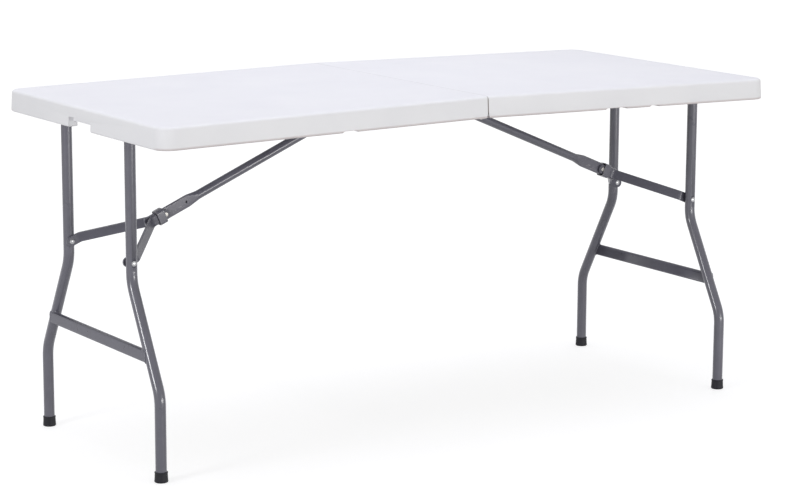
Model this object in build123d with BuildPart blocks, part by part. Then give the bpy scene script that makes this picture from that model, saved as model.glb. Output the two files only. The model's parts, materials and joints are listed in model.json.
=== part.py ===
from build123d import *
import os
from math import atan2, cos, degrees, hypot, sin

# Fold-in-half trestle table: two moulded top halves on hinged steel rails, a wishbone leg frame
# under each end, and a folding brace with a sliding lock ring that holds each leg frame upright.
# Frame: +X along the table, +Y away from the front edge, +Z up, origin on the floor under the fold.
# All sizes are in millimetres. The table stands open, with both braces straight and locked.

# Table top
table_length = 1526.0
table_width = 711.0
top_height = 738.0
crown_rise = 11.0
corner_radius = 32.0
top_edge_radius = 7.0
rim_height = 46.0
rim_width = 21.0
rim_flare = 3.0
rim_lip_radius = 3.5
slab_thickness = 16.0
recess_corner_radius = 6.0

# Seam where the two halves meet
seam_gap = 0.6
seam_edge_radius = 1.0
seam_rim_width = 14.0
seam_notch_width = 5.0
seam_notch_height = 14.0

# Moulded details of the top's underside and rim
hand_notch_width = 100.0
hand_notch_height = 22.0
hand_notch_rebate = 13.0
hand_notch_opening = 12.0
hand_notch_radius = 4.0
rim_dent_depth = 3.5
rim_dent_slope = 4.0
rim_dents = {"left": [(336.0, 38.0)], "right": [(338.0, 60.0), (442.0, 28.0)]}
dimple_radius = 8.0
dimple_depth = 7.0
dimple_taper = 25.0
dimple_pitch = 62.0
dimple_columns = 10
dimple_rows = 4
dimple_edge_inset = 62.0
brace_groove_depth = 9.8
brace_groove_clearance = 2.0
brace_pocket_clearance = 8.0

# Side rails, with the screws that hold them
rail_width = 16.0
rail_height = 29.0
rail_wall = 1.5
rail_rim_gap = 4.5
rail_seam_gap = 12.0
rail_end_gap = 6.0
rail_screw_count = 4
rail_screw_inset = 82.0
screw_radius = 2.5
screw_grip = 9.0
screw_head_radius = 4.5
screw_head_height = 2.2

# Centre hinges
hinge_knuckle_radius = 5.5
hinge_pin_radius = 3.0
hinge_pin_head_radius = 4.5
hinge_pin_head_height = 1.7
hinge_root_length = 42.0
hinge_root_gap = 2.0
hinge_tongue_width = 6.4

# Leg frames
leg_diameter = 23.0
leg_wall = 1.2
leg_inset = 41.0
foot_edge_inset = 96.5
leg_splay = 115.0
upper_bend_height = 387.0
lower_bend_height = 175.0
leg_bend_radius = 80.0
pivot_drop = 31.5
journal_radius = 7.0
journal_bore_radius = 5.5
bush_radius = 9.0
bush_collar_radius = 12.0
bush_collar_width = 2.0
crossbar_height = 250.0
crossbar_depth = 27.0
crossbar_thickness = 11.0
crossbar_offset = 7.0
foot_cap_height = 22.0
foot_cap_floor = 4.0
foot_cap_wall = 2.2
foot_cap_flare = 0.5
foot_cap_edge_radius = 1.8

# Folding braces
strut_diameter = 19.0
strut_wall = 1.2
strut_from_seam = 41.0
strut_drop = 22.9
strut_end = 9.0
strut_pin_radius = 3.0
tongue_thickness = 6.0
tongue_height = 27.0
tongue_tail = 48.0
tongue_flat = 60.0
tongue_taper = 25.0
tongue_corner_radius = 7.0
full_round = 0.98
stop_hole_radius = 2.5
stop_hole_setback = 55.0
stop_hole_web = 2.0
bar_thickness = 5.0
bar_height = 21.0
bar_straight = 34.0
bar_seat = 20.0
bar_bend_radius = 12.0
bar_overhang = 12.0
rivet_drop = 269.0
rivet_radius = 4.0
rivet_head_radius = 5.5
rivet_head_height = 2.0
rivet_dome = 0.7
rivet_seat_depth = 1.0
elbow_pin_radius = 4.0
elbow_pin_head_radius = 5.0
elbow_pin_head_height = 1.4
ring_length = 18.0
ring_wall = 1.8
ring_setback = 2.0
bracket_thickness = 2.5
bracket_half_length = 11.0
bracket_flange = 24.0
bracket_ear_drop = 8.0
bracket_screw_pitch = 10.5
strut_pin_head_radius = 4.5
strut_pin_head_height = 1.6

# Fits
running_clearance = 0.05
plate_gap = 0.3
ring_gap = 0.4

# Each half of the top slopes down from the fold, and its own frame follows that slope:
# u runs outwards from the fold, y across the table, z up from the top surface.
crown_angle = atan2(crown_rise, table_length / 2)
halves = {
    "left": Plane(
        origin=(0, 0, top_height),
        x_dir=(-cos(crown_angle), 0, -sin(crown_angle)),
        z_dir=(-sin(crown_angle), 0, cos(crown_angle)),
    ),
    "right": Plane(
        origin=(0, 0, top_height),
        x_dir=(cos(crown_angle), 0, -sin(crown_angle)),
        z_dir=(sin(crown_angle), 0, cos(crown_angle)),
    ),
}
half_length = table_length / 2 / cos(crown_angle)
recess_depth = rim_height - slab_thickness
recess_half_width = table_width / 2 - rim_width

# The hinge axis lies in the plane of the seam, level with the bottom of the rim.
hinge_u = rim_height * sin(crown_angle) / cos(crown_angle)

# Rails stand just inside the side rims, hard against the slab.
rail_y = recess_half_width - rail_rim_gap - rail_width / 2
rail_start = rail_seam_gap
rail_end = half_length - rim_width - rail_end_gap
rail_screw_pitch = (rail_end - rail_start - 2 * rail_screw_inset) / (rail_screw_count - 1)

# The leg frames hang plumb from pivots near the ends of the rails.
leg_radius = leg_diameter / 2
pivot_x = table_length / 2 - leg_inset
pivot_u = (pivot_x + pivot_drop * sin(crown_angle)) / cos(crown_angle)
pivot_height = top_height - pivot_u * sin(crown_angle) - pivot_drop * cos(crown_angle)
foot_half_spacing = table_width / 2 - foot_edge_inset
leg_half_spacing = foot_half_spacing - leg_splay
splay = (foot_half_spacing - leg_half_spacing) / (upper_bend_height - lower_bend_height)
crossbar_half_length = leg_half_spacing + splay * (upper_bend_height - crossbar_height)

# Brace geometry, in the frame of one half: straight when the table is open, and doubled back with the
# strut parallel to the panel when the legs are folded away.
rivet_u = pivot_u + rivet_drop * sin(crown_angle)
rivet_z = -pivot_drop - rivet_drop * cos(crown_angle)
folded_rivet_u = pivot_u - rivet_drop
brace_length = hypot(rivet_u - strut_from_seam, rivet_z + strut_drop)
folded_rise = pivot_drop - strut_drop
folded_slack = brace_length - (folded_rivet_u - strut_from_seam)
folded_overlap = (folded_slack**2 - folded_rise**2) / (2 * folded_slack)
fork_length = folded_slack - folded_overlap
strut_length = brace_length - fork_length
brace_angle = atan2(-strut_drop - rivet_z, rivet_u - strut_from_seam)
folded_elbow_u = folded_rivet_u + folded_overlap

# Widths stacked across the elbow: tongue, fork bars, pin heads and ring.
bar_inner = tongue_thickness / 2 + plate_gap
bar_outer = bar_inner + bar_thickness
fork_outer = leg_half_spacing - leg_radius - plate_gap
ring_half_width = max(bar_outer + elbow_pin_head_height, strut_diameter / 2) + ring_gap
ring_half_height = tongue_height / 2 + ring_gap
bracket_inner = strut_diameter / 2 + plate_gap
groove_half_width = ring_half_width + ring_wall + brace_groove_clearance


def across(plane, y=0.0):
    """Sketch plane seen from the front: x along the plane's x, y along its z, at width y."""
    return Plane(origin=plane.from_local_coords((0, y, 0)), x_dir=plane.x_dir, z_dir=-plane.y_dir)


def endways(plane, u=0.0):
    """Sketch plane square to the plane's x at u: x across the width, y along the plane's z."""
    return Plane(origin=plane.from_local_coords((u, 0, 0)), x_dir=plane.y_dir, z_dir=plane.x_dir)


def upright(plane):
    """Frame of a leg frame: at its pivot, plumb, with x outwards along the table."""
    outwards = (1 if plane.x_dir.X > 0 else -1, 0, 0)
    return Plane(origin=plane.from_local_coords((pivot_u, 0, -pivot_drop)), x_dir=outwards, z_dir=(0, 0, 1))


def along_brace(plane):
    """Frame of a brace: at the strut's pivot, with x down the brace towards the legs."""
    along = plane.x_dir * cos(brace_angle) - plane.z_dir * sin(brace_angle)
    square = plane.x_dir * sin(brace_angle) + plane.z_dir * cos(brace_angle)
    return Plane(origin=plane.from_local_coords((strut_from_seam, 0, -strut_drop)), x_dir=along, z_dir=square)


def edge_name(side, y_sign):
    """Near is the front edge of the table; the left half is turned round, so its widths swap."""
    return "near" if (side == "right") == (y_sign < 0) else "far"


def off_centre(face):
    """How far a face lies from the table's long centre line."""
    return abs(face.center().Y)


def save(builder, node):
    builder.part.label = node
    export_step(builder.part, f"parts/{node}.step")


def rail_screw_places():
    first = rail_start + rail_screw_inset
    us = [first + i * rail_screw_pitch for i in range(rail_screw_count)]
    return [(u, y) for y in (-rail_y, rail_y) for u in us]


def bracket_screw_places():
    first = bracket_inner + bracket_thickness + strut_pin_head_height + screw_head_radius + plate_gap
    ys = [first, first + bracket_screw_pitch]
    return [(strut_from_seam, sign * y) for sign in (-1, 1) for y in ys]


def make_panel(side, frame):
    """One moulded half of the top: a slab with a deep rim, recessed underneath for the folded legs."""
    u_axis = Axis(frame.origin, frame.x_dir)
    z_axis = Axis(frame.origin, frame.z_dir)
    underside = frame.offset(-slab_thickness)
    with BuildPart() as panel:
        with BuildSketch(frame) as outline:
            with Locations(((half_length - rim_flare) / 2, 0)):
                Rectangle(half_length - rim_flare, table_width - 2 * rim_flare)
            fillet(outline.vertices().group_by(Axis.X)[-1], corner_radius)
        extrude(amount=-rim_height, taper=-degrees(atan2(rim_flare, rim_height)))
        fillet(panel.faces().sort_by(z_axis)[-1].edges().sort_by(u_axis)[1:], top_edge_radius)
        fillet(panel.faces().sort_by(z_axis)[0].edges().sort_by(u_axis)[1:], rim_lip_radius)

        # Narrow notch along the bottom of the seam
        notch_bottom = -rim_height - seam_notch_height
        with BuildSketch(across(frame)):
            with BuildLine():
                Polyline(
                    (0, seam_notch_height - rim_height),
                    (2 * seam_notch_width, notch_bottom),
                    (-2 * seam_notch_width, notch_bottom),
                    close=True,
                )
            make_face()
        extrude(amount=table_width, both=True, mode=Mode.SUBTRACT)

        # Recess for the legs, open at the seam where the hinges pass
        with BuildSketch(frame.offset(-rim_height)) as recess:
            with Locations(((half_length - rim_width + seam_rim_width) / 2, 0)):
                Rectangle(half_length - rim_width - seam_rim_width, 2 * recess_half_width)
            fillet(recess.vertices().group_by(Axis.X)[-1], recess_corner_radius)
            hinge_gap = recess_half_width - rail_y + rail_width
            with Locations((seam_rim_width, recess_half_width - hinge_gap / 2)):
                Rectangle(4 * seam_rim_width, hinge_gap)
            with Locations((seam_rim_width, -recess_half_width + hinge_gap / 2)):
                Rectangle(4 * seam_rim_width, hinge_gap)
        extrude(amount=recess_depth, mode=Mode.SUBTRACT)

        # Groove that the folded strut lies in, widened into a pocket for the doubled-back fork
        groove_start = strut_from_seam - strut_end - 2 * brace_groove_clearance
        groove_end = folded_elbow_u + tongue_tail + 2 * brace_groove_clearance
        pocket_start = folded_elbow_u - fork_length / 2
        pocket_half_width = leg_half_spacing / 2 + brace_pocket_clearance
        with BuildSketch(underside):
            with Locations(((groove_start + groove_end) / 2, 0)):
                Rectangle(groove_end - groove_start, 2 * groove_half_width)
            with Locations(((pocket_start + groove_end) / 2, 0)):
                RectangleRounded(groove_end - pocket_start, 2 * pocket_half_width, groove_half_width)
        extrude(amount=brace_groove_depth, mode=Mode.SUBTRACT)

        # Rows of dimples that tie the two skins of the moulding together
        band_half = (dimple_rows - 1) * dimple_pitch / 2
        band_y = rail_y - rail_width - dimple_edge_inset / 2 - band_half
        with BuildSketch(underside):
            for sign in (-1, 1):
                with Locations(((half_length - rim_width + seam_rim_width) / 2, sign * band_y)):
                    with GridLocations(dimple_pitch, dimple_pitch, dimple_columns, dimple_rows):
                        Circle(dimple_radius)
        extrude(amount=dimple_depth, taper=dimple_taper, mode=Mode.SUBTRACT)

        # Hand notch in the end rim: a deep rebate outside, and a lower opening through the wall behind it
        notch_cuts = [
            (half_length - hand_notch_rebate, hand_notch_height),
            (half_length - 2 * rim_width, hand_notch_opening),
        ]
        for cut_start, cut_height in notch_cuts:
            with BuildSketch(endways(frame, cut_start)) as notch:
                with Locations((0, -rim_height)):
                    Rectangle(hand_notch_width, 2 * cut_height)
                with Locations((0, -rim_height - cut_height)):
                    Rectangle(2 * hand_notch_width, 2 * cut_height)
                fillet(notch.vertices().group_by(Axis.Y)[1:], hand_notch_radius)
            extrude(amount=2 * rim_width, mode=Mode.SUBTRACT)

        # Shallow dents along the bottom of the front rim
        front = -1 if side == "right" else 1
        with BuildSketch(across(frame, front * (table_width / 2 - rim_width / 2))):
            for dent_u, dent_width in rim_dents[side]:
                with BuildLine():
                    Polyline(
                        (dent_u - dent_width / 2 - rim_dent_slope, -rim_height - rim_dent_depth),
                        (dent_u - dent_width / 2 + rim_dent_slope, -rim_height + rim_dent_depth),
                        (dent_u + dent_width / 2 - rim_dent_slope, -rim_height + rim_dent_depth),
                        (dent_u + dent_width / 2 + rim_dent_slope, -rim_height - rim_dent_depth),
                        close=True,
                    )
                make_face()
        extrude(amount=rim_width, both=True, mode=Mode.SUBTRACT)

        # Pilot holes for the screws
        with BuildSketch(underside):
            with Locations(*rail_screw_places(), *bracket_screw_places()):
                Circle(screw_radius)
        extrude(amount=screw_grip, mode=Mode.SUBTRACT)

        # The seam faces are plumb, so that the open halves meet face to face
        outwards = frame.x_dir.X
        seam = Plane.YZ.offset(seam_gap / 2 if outwards > 0 else -seam_gap / 2)
        split(bisect_by=seam, keep=Keep.TOP if outwards > 0 else Keep.BOTTOM)
        seam_face = panel.faces().sort_by(u_axis)[0]
        fillet(seam_face.edges().sort_by(z_axis)[-1], seam_edge_radius)
    save(panel, f"{side}_panel")


def make_rail(side, frame, y_sign):
    """Folded steel channel, web up against the slab, drilled for its screws and the leg pivot."""
    y = y_sign * rail_y
    with BuildPart() as rail:
        with BuildSketch(endways(frame, rail_start)):
            with Locations((y, -slab_thickness - rail_height / 2)):
                Rectangle(rail_width, rail_height)
            with Locations((y, -slab_thickness - rail_wall - rail_height / 2)):
                Rectangle(rail_width - 2 * rail_wall, rail_height, mode=Mode.SUBTRACT)
        extrude(amount=rail_end - rail_start)
        with BuildSketch(across(frame, y)):
            with Locations((pivot_u, -pivot_drop)):
                Circle(bush_radius)
        extrude(amount=rail_width, both=True, mode=Mode.SUBTRACT)
        with BuildSketch(frame.offset(-slab_thickness)):
            with Locations(*rail_screw_places()):
                Circle(screw_radius)
        extrude(amount=-rail_wall, mode=Mode.SUBTRACT)
    save(rail, f"{side}_{edge_name(side, y_sign)}_rail")


def make_screws(side, frame, node, places, plate):
    """Pan-head screws driven up into the slab through a plate of the given thickness."""
    with BuildPart() as screws:
        with BuildSketch(frame.offset(-slab_thickness - plate)):
            with Locations(*places):
                Circle(screw_radius)
        extrude(amount=plate + screw_grip)
        with BuildSketch(frame.offset(-slab_thickness - plate)):
            with Locations(*places):
                Circle(screw_head_radius)
        extrude(amount=-screw_head_height)
        head_faces = screws.faces().filter_by(frame).group_by(Axis(frame.origin, frame.z_dir))[0]
        fillet(head_faces.edges(), screw_head_height / 2)
    save(screws, f"{side}_{node}")


def make_hinge_half(side, frame, y_sign):
    """Cast hinge half set in the end of a rail: a tongue on the left, a two-eared fork on the right."""
    y = y_sign * rail_y
    block_width = rail_width - 2 * rail_wall
    root_start = rail_start + hinge_root_gap
    root_top = -slab_thickness - rail_wall
    root_bottom = -slab_thickness - rail_height
    slot_half = hinge_tongue_width / 2
    with BuildPart() as hinge:
        with BuildSketch(across(frame, y)):
            with Locations((hinge_u, -rim_height)):
                Circle(hinge_knuckle_radius)
            with Locations((root_start + hinge_root_length / 2, (root_top + root_bottom) / 2)):
                Rectangle(hinge_root_length, root_top - root_bottom - 2 * hinge_root_gap)
            make_hull()
        extrude(amount=block_width / 2, both=True)
        with BuildSketch(frame):
            if side == "left":
                with GridLocations(0, block_width + hinge_tongue_width, 1, 2):
                    with Locations((0, y)):
                        Rectangle(2 * root_start, block_width)
            else:
                with Locations((0, y)):
                    Rectangle(2 * root_start, 2 * (slot_half + plate_gap))
        extrude(amount=-2 * rim_height, mode=Mode.SUBTRACT)
        with BuildSketch(across(frame, y)):
            with Locations((hinge_u, -rim_height)):
                Circle(hinge_pin_radius + (running_clearance if side == "left" else 0))
        extrude(amount=block_width, both=True, mode=Mode.SUBTRACT)
    kind = "tongue" if side == "left" else "fork"
    save(hinge, f"{edge_name(side, y_sign)}_hinge_{kind}")


def make_hinge_pin(side, frame, y_sign):
    """Headed pin through both hinge halves, fixed in the fork."""
    y = y_sign * rail_y
    half_span = rail_width / 2 - rail_wall
    with BuildPart() as pin:
        with BuildSketch(across(frame, y)):
            with Locations((hinge_u, -rim_height)):
                Circle(hinge_pin_radius)
        extrude(amount=half_span, both=True)
        for sign in (-1, 1):
            with BuildSketch(across(frame, y + sign * half_span)):
                with Locations((hinge_u, -rim_height)):
                    Circle(hinge_pin_head_radius)
            extrude(amount=-sign * hinge_pin_head_height)
    save(pin, f"{edge_name(side, y_sign)}_hinge_pin")


def make_bushes(side, frame):
    """Collared plastic bushes in the rails, where the leg frame's journals turn."""
    inner_face = rail_y - rail_width / 2
    with BuildPart() as bushes:
        for sign in (-1, 1):
            with BuildSketch(across(frame, sign * inner_face)):
                with Locations((pivot_u, -pivot_drop)):
                    Circle(bush_radius)
                    Circle(journal_radius + running_clearance, mode=Mode.SUBTRACT)
            extrude(amount=-sign * rail_width)
            with BuildSketch(across(frame, sign * inner_face)):
                with Locations((pivot_u, -pivot_drop)):
                    Circle(bush_collar_radius)
                    Circle(journal_radius + running_clearance, mode=Mode.SUBTRACT)
            extrude(amount=sign * bush_collar_width)
    save(bushes, f"{side}_pivot_bushes")


def make_pivot_tube(side, frame, y_sign):
    """Stub tube across the top of one leg, swaged down to a journal that turns in the rail's bush."""
    leg = upright(frame)
    inner_end = leg_half_spacing - leg_radius
    body_end = rail_y - rail_width / 2 - bush_collar_width - plate_gap
    journal_end = rail_y + rail_width / 2 + running_clearance
    bore_end = body_end - 2 * leg_wall
    with BuildPart() as tube:
        with BuildSketch(across(leg, y_sign * inner_end)):
            Circle(leg_radius)
        extrude(amount=-y_sign * (body_end - inner_end))
        with BuildSketch(across(leg, y_sign * body_end)):
            Circle(journal_radius)
        extrude(amount=-y_sign * (journal_end - body_end))
        with BuildSketch(across(leg, y_sign * (inner_end + leg_wall))):
            Circle(leg_radius - leg_wall)
        extrude(amount=-y_sign * (bore_end - inner_end - leg_wall), mode=Mode.SUBTRACT)
        with BuildSketch(across(leg, y_sign * bore_end)):
            Circle(journal_bore_radius)
        extrude(amount=-y_sign * (journal_end - bore_end), mode=Mode.SUBTRACT)
    save(tube, f"{side}_{edge_name(side, y_sign)}_pivot_tube")


def leg_path(sign):
    """Centre line of one bent leg, in the plane across the table: width, then height."""
    return FilletPolyline(
        (sign * leg_half_spacing, 0),
        (sign * leg_half_spacing, upper_bend_height - pivot_height),
        (sign * foot_half_spacing, lower_bend_height - pivot_height),
        (sign * foot_half_spacing, foot_cap_floor - pivot_height),
        radius=leg_bend_radius,
    )


def sweep_leg(leg, sign, inner_radius):
    """Bent leg tube from the pivot's centre line to the foot cap's floor; solid if it has no bore."""
    with BuildPart() as tube:
        with BuildLine(endways(leg)) as path:
            leg_path(sign)
        with BuildSketch(Plane(origin=path.line @ 0, x_dir=leg.x_dir, z_dir=path.line % 0)):
            Circle(leg_radius)
            if inner_radius > 0:
                Circle(inner_radius, mode=Mode.SUBTRACT)
        sweep()
    return tube.part


def make_leg(side, frame, y_sign):
    """Bent steel leg, coped to the pivot tube and drilled for the brace rivet."""
    leg = upright(frame)
    swept = sweep_leg(leg, y_sign, leg_radius - leg_wall)
    with BuildPart() as tube:
        add(swept)
        with BuildSketch(across(leg)):
            Circle(leg_radius)
        extrude(amount=2 * leg_half_spacing, both=True, mode=Mode.SUBTRACT)
        with BuildSketch(across(leg, y_sign * leg_half_spacing)):
            with Locations((0, -rivet_drop)):
                Circle(rivet_radius)
        extrude(amount=leg_diameter, both=True, mode=Mode.SUBTRACT)
        with BuildSketch(across(leg, y_sign * (leg_half_spacing + leg_radius - rivet_seat_depth))):
            with Locations((0, -rivet_drop)):
                Circle(rivet_head_radius)
        extrude(amount=-y_sign * leg_diameter, mode=Mode.SUBTRACT)
    save(tube, f"{side}_{edge_name(side, y_sign)}_leg")


def make_crossbar(side, frame):
    """Flattened tube across the legs, set to their outer side and coped onto them."""
    leg = upright(frame)
    legs = [sweep_leg(leg, sign, 0) for sign in (-1, 1)]
    with BuildPart() as bar:
        with BuildSketch(across(leg)):
            with Locations((crossbar_offset, crossbar_height - pivot_height)):
                SlotOverall(crossbar_depth, crossbar_thickness, rotation=90)
                SlotOverall(
                    crossbar_depth - 2 * leg_wall,
                    crossbar_thickness - 2 * leg_wall,
                    rotation=90,
                    mode=Mode.SUBTRACT,
                )
        extrude(amount=crossbar_half_length, both=True)
        add(legs, mode=Mode.SUBTRACT)
    save(bar, f"{side}_crossbar")


def make_foot_cap(side, frame, y_sign):
    """Plastic cap pushed over the end of a leg, a little wider at the floor."""
    leg = upright(frame)
    foot = Plane(
        origin=leg.from_local_coords((0, y_sign * foot_half_spacing, -pivot_height)),
        x_dir=leg.x_dir,
        z_dir=leg.z_dir,
    )
    top_radius = leg_radius + foot_cap_wall
    floor_radius = top_radius + foot_cap_flare
    with BuildPart() as cap:
        with BuildSketch(across(foot)) as profile:
            with BuildLine():
                Polyline(
                    (0, 0),
                    (floor_radius, 0),
                    (top_radius, foot_cap_height),
                    (leg_radius, foot_cap_height),
                    (leg_radius, foot_cap_floor),
                    (0, foot_cap_floor),
                    close=True,
                )
            make_face()
            fillet(profile.vertices().sort_by(Axis.X)[-1], foot_cap_edge_radius)
        revolve(axis=Axis(foot.origin, foot.z_dir))
    save(cap, f"{side}_{edge_name(side, y_sign)}_foot_cap")


def make_leg_rivets(side, frame):
    """Rivets through the two legs, with domed heads on the outside."""
    leg = upright(frame)
    head_base = leg_half_spacing + leg_radius - rivet_seat_depth
    shank_start = leg_half_spacing - leg_radius
    with BuildPart() as rivets:
        for sign in (-1, 1):
            with BuildSketch(across(leg, sign * shank_start)):
                with Locations((0, -rivet_drop)):
                    Circle(rivet_radius)
            extrude(amount=-sign * (head_base - shank_start))
            with BuildSketch(across(leg, sign * head_base)):
                with Locations((0, -rivet_drop)):
                    Circle(rivet_head_radius)
            extrude(amount=-sign * (rivet_seat_depth + rivet_head_height))
        head_faces = rivets.faces().filter_by(Plane.XZ).sort_by(off_centre)[-2:]
        fillet(head_faces.edges(), rivet_dome * rivet_head_height)
    save(rivets, f"{side}_leg_rivets")


def make_strut_brackets(side, frame):
    """Pair of angle brackets screwed under the panel, one each side of the strut's top end."""
    flange_width = bracket_thickness + bracket_flange
    ear_top = strut_drop - slab_thickness
    with BuildPart() as brackets:
        for sign in (-1, 1):
            ear_inner = sign * bracket_inner
            with BuildSketch(across(frame, ear_inner)):
                with Locations((strut_from_seam, -strut_drop)):
                    Circle(bracket_ear_drop)
                with Locations((strut_from_seam, -strut_drop + ear_top / 2)):
                    Rectangle(2 * bracket_ear_drop, ear_top)
            extrude(amount=-sign * bracket_thickness)
            with BuildSketch(frame.offset(-slab_thickness)):
                with Locations((strut_from_seam, sign * (bracket_inner + flange_width / 2))):
                    Rectangle(2 * bracket_half_length, flange_width)
            extrude(amount=-bracket_thickness)
        with BuildSketch(across(frame)):
            with Locations((strut_from_seam, -strut_drop)):
                Circle(strut_pin_radius)
        extrude(amount=2 * bracket_inner, both=True, mode=Mode.SUBTRACT)
        with BuildSketch(frame.offset(-slab_thickness)):
            with Locations(*bracket_screw_places()):
                Circle(screw_radius)
        extrude(amount=-bracket_thickness, mode=Mode.SUBTRACT)
    save(brackets, f"{side}_strut_brackets")


def make_headed_pin(plane, x, half_span, radius, head_radius, head_height):
    """Pin across a frame at x, with a rounded head outside each end of its span."""
    with BuildPart() as pin:
        with BuildSketch(across(plane)):
            with Locations((x, 0)):
                Circle(radius)
        extrude(amount=half_span, both=True)
        for sign in (-1, 1):
            with BuildSketch(across(plane, sign * half_span)):
                with Locations((x, 0)):
                    Circle(head_radius)
            extrude(amount=-sign * head_height)
        head_faces = pin.faces().filter_by(Plane.XZ).sort_by(off_centre)[-2:]
        fillet(head_faces.edges(), rivet_dome * head_height)
    return pin


def make_strut(side, frame):
    """Brace tube, pinned under the panel and pressed flat into a drilled tongue at the elbow."""
    brace = along_brace(frame)
    flat_start = strut_length - tongue_flat
    taper_start = flat_start - tongue_taper
    tail_end = strut_length + tongue_tail
    tube_round = full_round * strut_diameter / 2
    tongue_round = full_round * tongue_thickness / 2
    with BuildPart() as strut:
        with BuildSketch(endways(brace, -strut_end)):
            RectangleRounded(strut_diameter, strut_diameter, tube_round)
        extrude(amount=taper_start + strut_end)
        with BuildSketch(endways(brace, taper_start)):
            RectangleRounded(strut_diameter, strut_diameter, tube_round)
        with BuildSketch(endways(brace, flat_start)):
            RectangleRounded(tongue_thickness, tongue_height, tongue_round)
        loft()
        with BuildSketch(endways(brace, flat_start)):
            RectangleRounded(tongue_thickness, tongue_height, tongue_round)
        extrude(amount=tail_end - flat_start)

        # Bore of the tube, and holes for the pins and the ring's stop
        with BuildSketch(endways(brace, -strut_end)):
            Circle(strut_diameter / 2 - strut_wall)
        extrude(amount=taper_start + strut_end, mode=Mode.SUBTRACT)
        with BuildSketch(across(brace)):
            Circle(strut_pin_radius + running_clearance)
            with Locations((strut_length, 0)):
                Circle(elbow_pin_radius + running_clearance)
        extrude(amount=strut_diameter, both=True, mode=Mode.SUBTRACT)
        with BuildSketch(across(brace, stop_hole_web - tongue_thickness / 2)):
            with Locations((strut_length - stop_hole_setback, 0)):
                Circle(stop_hole_radius)
        extrude(amount=-strut_diameter, mode=Mode.SUBTRACT)

        # Rounded corners at the tail
        with BuildSketch(across(brace)) as side_view:
            with Locations(((tail_end - strut_end) / 2, 0)):
                Rectangle(tail_end + strut_end, tongue_height)
            fillet(side_view.vertices().group_by(Axis.X)[-1], tongue_corner_radius)
        extrude(amount=strut_diameter, both=True, mode=Mode.INTERSECT)
    save(strut, f"{side}_strut")


def make_fork_bar(side, frame, y_sign):
    """Flat brace bar from the elbow out to one leg, straight beside the tongue and flat on the leg."""
    brace = along_brace(frame)
    elbow_y = y_sign * (bar_inner + bar_thickness / 2)
    leg_y = y_sign * (fork_outer - bar_thickness / 2)
    rivet_x = strut_length + fork_length
    with BuildPart() as bar:
        with BuildSketch(brace):
            with BuildLine():
                FilletPolyline(
                    (strut_length - bar_height / 2, elbow_y),
                    (strut_length + bar_straight, elbow_y),
                    (rivet_x - bar_seat, leg_y),
                    (rivet_x + bar_overhang, leg_y),
                    radius=bar_bend_radius,
                )
            trace(line_width=bar_thickness)
        extrude(amount=bar_height / 2, both=True)
        round_length = fork_length + bar_overhang - bar_height / 2
        with BuildSketch(across(brace)):
            with Locations((strut_length + round_length / 2, 0)):
                SlotCenterToCenter(round_length, bar_height)
        extrude(amount=leg_half_spacing, both=True, mode=Mode.INTERSECT)
        with BuildSketch(across(brace)):
            with Locations((strut_length, 0)):
                Circle(elbow_pin_radius)
            with Locations((rivet_x, 0)):
                Circle(rivet_radius)
        extrude(amount=leg_half_spacing, both=True, mode=Mode.SUBTRACT)
    save(bar, f"{side}_{edge_name(side, y_sign)}_fork_bar")


def make_fork_rivets(side, frame):
    """Rivet tails in the ends of the fork bars, headed on the inside."""
    brace = along_brace(frame)
    rivet_x = strut_length + fork_length
    inner_face = fork_outer - bar_thickness
    with BuildPart() as rivets:
        for sign in (-1, 1):
            with BuildSketch(across(brace, sign * fork_outer)):
                with Locations((rivet_x, 0)):
                    Circle(rivet_radius)
            extrude(amount=sign * bar_thickness)
            with BuildSketch(across(brace, sign * inner_face)):
                with Locations((rivet_x, 0)):
                    Circle(rivet_head_radius)
            extrude(amount=sign * rivet_head_height)
        head_faces = rivets.faces().filter_by(Plane.XZ).sort_by(off_centre)[:2]
        fillet(head_faces.edges(), rivet_dome * rivet_head_height)
    save(rivets, f"{side}_fork_rivets")


def make_lock_ring(side, frame):
    """Pressed steel sleeve that slides over the elbow and keeps the fork in line with the strut."""
    brace = along_brace(frame)
    inner_width = 2 * ring_half_width
    inner_height = 2 * ring_half_height
    with BuildPart() as ring:
        with BuildSketch(endways(brace, strut_length + ring_setback)):
            RectangleRounded(inner_width + 2 * ring_wall, inner_height + 2 * ring_wall, 3 * ring_wall)
            RectangleRounded(inner_width, inner_height, 2 * ring_wall, mode=Mode.SUBTRACT)
        extrude(amount=ring_length)
    save(ring, f"{side}_lock_ring")


os.makedirs("parts", exist_ok=True)
for side, frame in halves.items():
    make_panel(side, frame)
    make_bushes(side, frame)
    make_crossbar(side, frame)
    make_leg_rivets(side, frame)
    make_strut_brackets(side, frame)
    make_strut(side, frame)
    make_fork_rivets(side, frame)
    make_lock_ring(side, frame)
    make_screws(side, frame, "rail_screws", rail_screw_places(), rail_wall)
    make_screws(side, frame, "bracket_screws", bracket_screw_places(), bracket_thickness)
    for y_sign in (-1, 1):
        make_rail(side, frame, y_sign)
        make_hinge_half(side, frame, y_sign)
        make_pivot_tube(side, frame, y_sign)
        make_leg(side, frame, y_sign)
        make_foot_cap(side, frame, y_sign)
        make_fork_bar(side, frame, y_sign)

    brace = along_brace(frame)
    strut_pin = make_headed_pin(
        brace,
        0,
        bracket_inner + bracket_thickness,
        strut_pin_radius,
        strut_pin_head_radius,
        strut_pin_head_height,
    )
    save(strut_pin, f"{side}_strut_pin")
    elbow_pin = make_headed_pin(
        brace, strut_length, bar_outer, elbow_pin_radius, elbow_pin_head_radius, elbow_pin_head_height
    )
    save(elbow_pin, f"{side}_elbow_pin")

for y_sign in (-1, 1):
    make_hinge_pin("right", halves["right"], y_sign)

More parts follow.
